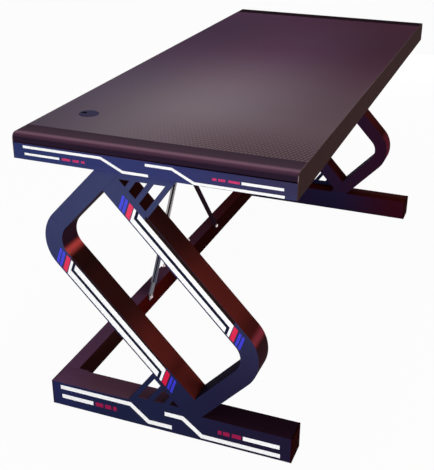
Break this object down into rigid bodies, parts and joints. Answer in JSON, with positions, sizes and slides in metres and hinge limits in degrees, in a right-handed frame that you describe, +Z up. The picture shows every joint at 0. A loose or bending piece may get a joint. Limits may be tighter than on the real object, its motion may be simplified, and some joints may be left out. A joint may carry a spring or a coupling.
{
  "type": "gaming desk",
  "caption": "Rectangular gaming desk with a carbon-look top on two bent-tube Z-shaped end frames, a floor stretcher, crossed brace rods, levelling glides and a turning cable grommet.",
  "frame": {"origin": "on the floor, below the middle of the desk's outer box", "axes": "+X along the desktop's length to the right of a person seated at it, +Y to the rear, +Z up"},
  "size_m": [1.6, 0.706, 0.7615],
  "materials": {
    "board": "raw particle board",
    "carbon_laminate": "satin carbon-look embossed laminate",
    "nosing": "semi-gloss plain film",
    "fascia": "matte edge strip",
    "frame_paint": "satin powder coat",
    "end_cap": "moulded plastic",
    "glide_pad": "moulded rubber",
    "rod_chrome": "bright plated",
    "spacers": "moulded plastic",
    "fasteners": "zinc plated",
    "grommet": "moulded plastic"
  },
  "bodies": {
    "desk": {"desktop_panel": "board", "carbon_laminate": "carbon_laminate", "left_nosing": "nosing", "right_nosing": "nosing", "front_fascia": "fascia", "rear_fascia": "fascia", "stretcher": "frame_paint", "front_rail": "frame_paint", "rear_rail": "frame_paint", "stretcher_bolts": "fasteners", "front_rail_bolts": "fasteners", "rear_rail_bolts": "fasteners", "brace_rod_rear": "rod_chrome", "brace_rod_front": "rod_chrome", "brace_bolts": "fasteners", "brace_spacer": "spacers", "stretcher_top_bolts": "fasteners", "desktop_screws": "fasteners", "grommet_sleeve": "grommet", "left_top_beam": "frame_paint", "left_foot_beam": "frame_paint", "left_rear_leg_tube": "frame_paint", "left_front_leg_tube": "frame_paint", "left_upper_gusset": "frame_paint", "left_lower_gusset": "frame_paint", "left_foot_front_cap": "end_cap", "left_foot_rear_cap": "end_cap", "left_insert_nuts": "fasteners", "right_top_beam": "frame_paint", "right_foot_beam": "frame_paint", "right_rear_leg_tube": "frame_paint", "right_front_leg_tube": "frame_paint", "right_upper_gusset": "frame_paint", "right_lower_gusset": "frame_paint", "right_foot_front_cap": "end_cap", "right_foot_rear_cap": "end_cap", "right_insert_nuts": "fasteners"},
    "left_front_glide": {"left_front_glide_pad": "glide_pad", "left_front_glide_stem": "fasteners"},
    "left_rear_glide": {"left_rear_glide_pad": "glide_pad", "left_rear_glide_stem": "fasteners"},
    "right_front_glide": {"right_front_glide_pad": "glide_pad", "right_front_glide_stem": "fasteners"},
    "right_rear_glide": {"right_rear_glide_pad": "glide_pad", "right_rear_glide_stem": "fasteners"},
    "grommet_cap": {"grommet_cap": "grommet"}
  },
  "joints": [
    {"name": "left_front_glide_travel", "type": "slide", "parent": "desk", "child": "left_front_glide", "axis": [0, 0, 1], "range_m": [-0.01, 0]},
    {"name": "left_rear_glide_travel", "type": "slide", "parent": "desk", "child": "left_rear_glide", "axis": [0, 0, 1], "range_m": [-0.01, 0]},
    {"name": "right_front_glide_travel", "type": "slide", "parent": "desk", "child": "right_front_glide", "axis": [0, 0, 1], "range_m": [-0.01, 0]},
    {"name": "right_rear_glide_travel", "type": "slide", "parent": "desk", "child": "right_rear_glide", "axis": [0, 0, 1], "range_m": [-0.01, 0]},
    {"name": "grommet_cap_turn", "type": "hinge", "parent": "desk", "child": "grommet_cap", "pos_m": [-0.607, 0.257, 0.7615], "axis": [0, 0, 1], "continuous": true}
  ]
}
